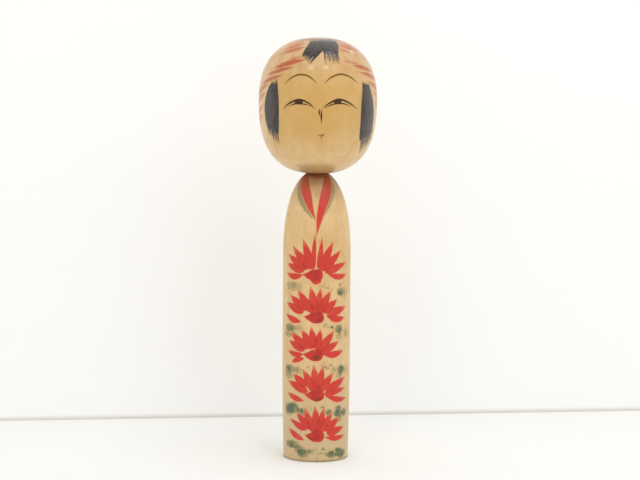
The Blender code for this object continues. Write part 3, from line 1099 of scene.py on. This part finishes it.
# Shares of a petal's width from its tip to its root, in the fan and among the low petals
FAN = (0.04, 0.42, 0.76, 1.0, 1.14, 1.0, 0.24)
LOW = (0.05, 0.48, 0.84, 1.02, 0.98, 0.6, 0.08)
FAN_SPREAD = 1.12  # how much the wet brush widens a fan petal
PETAL_FADE = (0.5, 1.0)
SEED_POD = ((-9.4, 0.8, 0.6), (-5.6, 0.0, 4.6), (-1.6, 0.0, 8.6), (0.8, 0.2, 9.2))  # (across, up, width)
SPOTS = ((1, (1.6, -2.0), 2.9), (2, (0.4, -1.6), 3.9), (3, (0.2, -2.9), 3.3))  # (flower, place, size)


def bend_to(canvas, line):
    """Reads the second coordinate of a stroke as a height and makes it a length along the side."""
    line[:, 1] = np.interp(line[:, 1], canvas.heights, canvas.lengths)
    return line


class DOLL_OT_paint_flowers(Operator):
    """Paints the five stacked chrysanthemums, each petal one stroke from its tip to its root"""

    bl_idname = "doll.paint_flowers"
    bl_label = "Paint the flowers"

    def execute(self, context):
        doll, wood = context.scene.doll_paint, context.scene.doll_wood
        side = body_canvas()
        # Red dye, and green dye laid over it while it was wet
        red = brushed_dye("red_dye_flower", wood, False, doll.red, doll.deep_red, 0.42, (0.28, 0.28, 0.2))
        dark = brushed_dye("green_dye_on_red", wood, False, doll.seed_spot, mottle=0.3, ground=doll.deep_red)

        def away(hub, bearing, distance):
            """The point at this bearing and distance from the hub."""
            angle = math.radians(bearing)
            return np.array(hub) + (distance * math.sin(angle), distance * math.cos(angle))

        for number, (hub, fan, low) in enumerate(FLOWERS, 1):
            rng = np.random.default_rng(SEED + number)
            strokes = []
            for bearing, tip, root, width, *drift in fan:
                path = [away(hub, bearing, tip), away(hub, bearing, root) + (sum(drift), 0)]
                widths = [width * FAN_SPREAD * share for share in FAN]
                strokes.append(stroke(path, widths, rng.uniform(0.68, 0.76), PETAL_FADE))
            for bearing, tip, inner, root, width, sag in low:
                ends = away(hub, bearing, tip), away(hub, inner, root)
                path = [ends[0], (ends[0] + ends[1]) / 2 - (0, sag), ends[1]]
                widths = [width * share for share in LOW]
                strokes.append(stroke(path, widths, rng.uniform(0.68, 0.75), PETAL_FADE))
            pod = [(hub[0] + x, hub[1] + y) for x, y, _ in SEED_POD]
            strokes.append(stroke(pod, [width for *_, width in SEED_POD], 0.97, (0.75, 1.0)))
            strokes = [bend_to(side, line) for line in strokes]
            name = f"flower_{number}"
            paint(name, side, strokes, red, 2, soft=0.45, shake=0.08, seed=number)
        marks = []
        for flower, (x, y), size in SPOTS:
            hub = FLOWERS[flower][0]
            path = [(hub[0] + x - 0.5, hub[1] + y), (hub[0] + x + 0.6, hub[1] + y + 0.4)]
            marks.append(bend_to(side, stroke(path, [size, size], 0.62)))
        paint("seed_spots", side, marks, dark, 3, pitch=0.2, soft=1.5, shake=0.3)
        return {"FINISHED"}


# Each row of leaves: watery blots as (arc, height, width, height of the blot, dye), and single touches of the
# brush's tip as (arc, height, run across, run up, width, dye), all in millimetres
LEAVES = (
    (
        ((-18.4, 126.2, 15.0, 6.5, 0.48), (18.4, 122.6, 6.0, 6.4, 0.7), (22.6, 121.6, 10.0, 7.5, 0.32)),
        (
            (3.0, 127.0, 8.4, -3.2, 1.3, 0.46), (5.2, 128.2, 1.2, 0.3, 1.6, 0.5),
            (17.2, 126.4, 1.6, 1.2, 1.4, 0.8),
        ),
    ),
    (
        (
            (-21.4, 95.8, 11.4, 5.6, 0.76), (-13.4, 96.2, 8.4, 4.2, 0.34), (-23.4, 91.6, 9.4, 5.0, 0.5),
            (-17.6, 91.4, 7.4, 4.6, 0.36), (17.6, 95.6, 7.6, 6.6, 0.76), (25.4, 92.4, 9.0, 8.0, 0.28),
            (18.0, 90.0, 6.4, 5.6, 0.4),
        ),
        (
            (5.2, 98.2, 2.0, 1.2, 1.8, 0.5), (6.2, 97.8, 4.6, -1.2, 1.6, 0.4),
            (10.6, 97.4, 1.8, -0.9, 2.0, 0.7),
        ),
    ),
    (
        (
            (-21.8, 66.4, 11.0, 5.4, 0.76), (-22.6, 62.0, 9.4, 5.6, 0.54), (-14.0, 65.8, 7.4, 5.2, 0.42),
            (19.8, 66.6, 7.4, 6.6, 0.82), (26.0, 65.6, 9.0, 7.6, 0.26), (13.4, 66.6, 4.6, 5.0, 0.4),
            (18.6, 62.2, 7.0, 5.6, 0.34),
        ),
        (
            (-6.8, 69.0, 1.8, -0.5, 1.5, 0.5), (-9.6, 65.6, 1.2, -2.4, 1.4, 0.36),
            (4.2, 69.6, 4.8, -2.0, 2.2, 0.56), (5.4, 71.0, 1.4, 0.7, 1.2, 0.6),
            (9.6, 70.2, 2.4, -0.8, 1.7, 0.6),
        ),
    ),
    (
        (
            (-19.8, 37.9, 14.4, 7.4, 0.86), (-23.0, 35.2, 9.0, 6.0, 0.6), (-9.8, 36.4, 9.6, 6.4, 0.66),
            (-17.0, 40.6, 7.0, 3.6, 0.6), (9.8, 36.0, 5.6, 5.0, 0.74), (17.8, 38.4, 6.6, 4.2, 0.72),
            (17.4, 34.8, 8.4, 5.6, 0.84), (23.8, 35.2, 8.2, 6.2, 0.64), (18.2, 30.8, 6.2, 4.8, 0.66),
        ),
        (
            (-5.0, 40.0, 1.8, -1.6, 1.4, 0.5), (3.6, 39.6, 3.0, 0.2, 1.4, 0.6),
            (5.0, 38.4, 1.0, 1.6, 1.3, 0.66),
        ),
    ),
    (
        (
            (-19.8, 11.8, 14.0, 5.6, 0.78), (-12.4, 8.4, 9.0, 6.6, 0.7), (-9.6, 5.4, 8.2, 6.0, 0.66),
            (-4.8, 7.6, 7.0, 3.8, 0.62), (12.2, 5.2, 8.4, 5.4, 0.84), (17.8, 8.6, 6.0, 3.0, 0.76),
            (21.4, 5.4, 11.6, 6.4, 0.86),
        ),
        (
            (-3.6, 8.6, 4.6, 0.2, 0.9, 0.36), (1.8, 6.6, 7.2, -1.0, 1.3, 0.5),
            (5.0, 9.2, 1.6, -0.2, 1.9, 0.8),
        ),
    ),
)
POOLS = 3  # in each blot


class DOLL_OT_paint_leaves(Operator):
    """Paints the watery green leaves and stems between the flowers"""

    bl_idname = "doll.paint_leaves"
    bl_label = "Paint the leaves"

    def execute(self, context):
        doll, wood = context.scene.doll_paint, context.scene.doll_wood
        side = body_canvas()
        # Green dye, olive where it is thin
        grain, pools = (0.2, 0.2, 0.16), (0.4, 0.86)
        green = brushed_dye("faded_green_dye", wood, False, doll.olive, doll.green, 0.45, grain, pools=pools)
        soft = 1.7
        for number, (blots, touches) in enumerate(LEAVES, 1):
            rng = np.random.default_rng(SEED + number)
            strokes = []
            for x, y, wide, tall, held in blots:
                size = min(wide, tall)
                run, rise = (wide - size) / 2, (tall - size) / 2
                # A watery wash first, then darker pools where the brush was pressed
                broad = size + soft
                path = [(x - run - 0.4, y - rise), (x, y + rng.uniform(-0.5, 0.5)), (x + run + 0.4, y + rise)]
                strokes.append(stroke(path, [broad * 0.85, broad, broad * 0.9], held * 0.72, (0.95, 0.8)))
                for _ in range(POOLS):
                    angle, reach = rng.uniform(0, math.tau), rng.uniform(0.08, 0.24)
                    pressed = size * rng.uniform(0.4, 0.6) + soft * 0.5
                    start = (x + wide * reach * math.cos(angle), y + tall * reach * math.sin(angle))
                    across, up = rng.uniform(-0.2, 0.2) * wide, rng.uniform(-0.15, 0.15) * tall
                    end = (start[0] + across, start[1] + up)
                    share = rng.uniform(0.25, 0.5)
                    strokes.append(stroke([start, end], [pressed, pressed * 0.8], held * share))
            for x, y, run, rise, width, held in touches:
                path = [(x, y), (x + run * 0.5, y + rise * 0.5 + 0.2), (x + run, y + rise)]
                widths = [width + soft * share for share in (0.5, 0.7, 0.5)]
                strokes.append(stroke(path, widths, held, (0.7, 0.8)))
            strokes = [bend_to(side, line) for line in strokes]
            name = f"leaves_{number}"
            paint(name, side, strokes, green, 1, soft=soft, shake=0.35, seed=number)
        return {"FINISHED"}


class DOLL_OT_open_check(Operator):
    """Paints the shadow and old dust in the fine drying check that runs up from the foot"""

    bl_idname = "doll.open_check"
    bl_label = "Paint the drying check's shadow"

    def execute(self, context):
        wood = context.scene.doll_wood
        side = body_canvas()
        # Shadow and old dust in the crack
        shade = brushed_dye("drying_check_shade", wood, False, linear("6A4A2A"), mottle=0.6)
        path = [(1.1, 1.2), (1.3, 5.0), (1.0, 9.0), (1.3, 14.6)]
        line = stroke(path, [0.42, 0.36, 0.3, 0.1], 0.7)
        paint("drying_check", side, [line], shade, 1.5, pitch=0.12, soft=0.12, shake=0.03)
        return {"FINISHED"}


# Stage, in metres and watts

FLOOR_SIDES = 64
FLOOR_REACH = 3.0
FLOOR_HOLE = 0.022  # hidden under the foot, it lets light reach the foot from below
WALL_REACH = 2.0
# A low strip in front of the wall's foot holds painted shade for the corner between wall and floor
CORNER_SHADE_HEIGHT = 0.0045
PAINTED_CORNER_SHADE = "DAD7D0"
CORNER_SHADE_GAP = 0.0001  # between the strip of painted corner shade and the wall
PAPER_ROUGHNESS = 0.9
ROOM_LIGHT = 0.76
LAMP_COLOUR = "FFFEFB"
LAMP_AIM = Vector((0, 0, 0.18))
LAMPS = (  # name, place, size, power
    ("key_softbox", (0.9, -1.7, 1.5), 1.2, 4.6),
    ("fill_softbox", (-1.2, -1.6, 1.3), 1.4, 2.5),
    ("lamp_middle", (0.285, -0.806, 1.160), 0.14, 0.80),
    ("right_softbox", (0.600, -0.745, 1.040), 1.0, 1.00),
    ("lamp_behind", (0.123, 0.090, 0.420), 0.018, 0.0070),
    ("lamp_left", (-0.255, -0.819, 1.157), 0.24, 1.10),
    ("lamp_above", (0.330, -0.120, 1.330), 0.34, 1.20),
)


def matte_paper(name, shade, painted_corner_shade=None):
    """Matte paper, clear when seen from its back, so that the doll shows from behind and from below. A
    painted corner shade, when given, fades into the paper's own colour over the height of the shade strip."""
    material = blank(name)
    tree = material.node_tree
    shader = tree.nodes["Principled BSDF"]
    shader.inputs["Roughness"].default_value = PAPER_ROUGHNESS
    shader.inputs["Base Color"].default_value = (*shade, 1)
    if painted_corner_shade:
        place = node(tree, "ShaderNodeTexCoord").outputs["Object"]
        height = node(tree, "ShaderNodeSeparateXYZ", {0: place}).outputs["Z"]
        faded = blend_colours(tree, spread(tree, height, 0.0, CORNER_SHADE_HEIGHT), painted_corner_shade, shade)
        tree.links.new(faded, shader.inputs["Base Color"])
    backwards = node(tree, "ShaderNodeNewGeometry").outputs["Backfacing"]
    clear = node(tree, "ShaderNodeBsdfTransparent").outputs[0]
    either = node(tree, "ShaderNodeMixShader", {0: backwards, 1: shader.outputs[0], 2: clear}).outputs[0]
    tree.links.new(either, tree.nodes["Material Output"].inputs["Surface"])
    return material


def upright(away, low, high, forward):
    """The corners of an upright sheet as wide as the wall, from one height to another."""
    corners = ((-WALL_REACH, low), (WALL_REACH, low), (WALL_REACH, high), (-WALL_REACH, high))
    return [away @ Vector((x, -forward, up)) for x, up in corners]


class DOLL_OT_set_stage(Operator):
    """Sets the pale floor and wall, the soft studio light and the camera"""

    bl_idname = "doll.set_stage"
    bl_label = "Set the stage"

    def execute(self, context):
        scene = context.scene
        stage = scene.doll_stage
        scene.view_settings.view_transform = "Standard"
        # Matte paper: a paler one behind the doll than under it, and a low strip before the wall's foot with
        # soft painted shade, darkest at the floor, where the wall meets the floor
        floor_paper, wall_paper = (matte_paper(f, getattr(stage, f)) for f in ("floor_paper", "wall_paper"))
        corner_shade_paper = matte_paper("paper_with_painted_corner_shade", stage.wall_paper, linear(PAINTED_CORNER_SHADE))
        turns = [math.tau * step / FLOOR_SIDES for step in range(FLOOR_SIDES)]
        reaches = [(reach, turn) for reach in (FLOOR_REACH, FLOOR_HOLE) for turn in turns]
        ring = [Vector((reach * math.cos(turn), reach * math.sin(turn), 0)) for reach, turn in reaches]
        ring_faces = []
        for at in range(FLOOR_SIDES):
            after = (at + 1) % FLOOR_SIDES
            ring_faces.append((at, after, FLOOR_SIDES + after, FLOOR_SIDES + at))
        away = Matrix.Rotation(stage.wall_turn, 4, "Z") @ Matrix.Translation((0, stage.wall_distance, 0))
        quad = [(0, 1, 2, 3)]
        for name, points, faces, skin in (
            ("floor", ring, ring_faces, floor_paper),
            ("wall", upright(away, 0, WALL_REACH, 0), quad, wall_paper),
            ("fold", upright(away, 0, CORNER_SHADE_HEIGHT, CORNER_SHADE_GAP), quad, corner_shade_paper),
        ):
            mesh = bpy.data.meshes.new(name)
            mesh.from_pydata(points, [], faces)
            mesh.materials.append(skin)
            sheet = bpy.data.objects.new(name, mesh)
            scene.collection.objects.link(sheet)
        world = bpy.data.worlds.new("soft_room")
        world.use_nodes = True
        sky = world.node_tree.nodes["Background"]
        sky.inputs["Color"].default_value = (*linear("FFFFFF"), 1)
        sky.inputs["Strength"].default_value = ROOM_LIGHT
        scene.world = world
        for name, place, size, watts in LAMPS:
            data = bpy.data.lights.new(name, "AREA")
            data.size = size
            data.energy = watts
            data.color = linear(LAMP_COLOUR)
            lamp = bpy.data.objects.new(name, data)
            lamp.location = place
            lamp.rotation_euler = (LAMP_AIM - Vector(place)).to_track_quat("-Z", "Y").to_euler()
            scene.collection.objects.link(lamp)
        data = bpy.data.cameras.new("camera")
        data.lens = stage.lens
        data.sensor_width = stage.sensor
        camera = bpy.data.objects.new("camera", data)
        tilt = Matrix.Rotation(math.pi / 2 - stage.camera_tilt, 4, "X")
        roll = Matrix.Rotation(stage.camera_roll, 4, "Z")
        place = (stage.camera_side, -stage.camera_distance, stage.camera_height)
        camera.matrix_world = Matrix.Translation(place) @ tilt @ roll
        scene.collection.objects.link(camera)
        scene.camera = camera
        return {"FINISHED"}


OPERATORS = (
    DOLL_OT_set_stage,
    DOLL_OT_turn_wood,
    DOLL_OT_paint_crown,
    DOLL_OT_paint_hair,
    DOLL_OT_paint_face,
    DOLL_OT_paint_collar,
    DOLL_OT_paint_leaves,
    DOLL_OT_paint_flowers,
    DOLL_OT_open_check,
)


class DOLL_PT_bench(Panel):
    """Lists the steps that make the doll"""

    bl_idname = "DOLL_PT_bench"
    bl_label = "Turned doll"
    bl_space_type = "VIEW_3D"
    bl_region_type = "UI"
    bl_category = "Doll"

    def draw(self, context):
        for step in OPERATORS:
            self.layout.operator(step.bl_idname)


GROUPS = {
    "doll_turning": DollTurning,
    "doll_wood": DollWood,
    "doll_paint": DollPaint,
    "doll_stage": DollStage,
}


def register():
    for cls in (*GROUPS.values(), *OPERATORS, DOLL_PT_bench):
        bpy.utils.register_class(cls)
    for name, group in GROUPS.items():
        setattr(bpy.types.Scene, name, PointerProperty(type=group))


def unregister():
    for name in GROUPS:
        delattr(bpy.types.Scene, name)
    for cls in reversed((*GROUPS.values(), *OPERATORS, DOLL_PT_bench)):
        bpy.utils.unregister_class(cls)


def main():
    register()
    for step in OPERATORS:
        group, name = step.bl_idname.split(".")
        getattr(getattr(bpy.ops, group), name)()


if __name__ == "__main__":
    main()
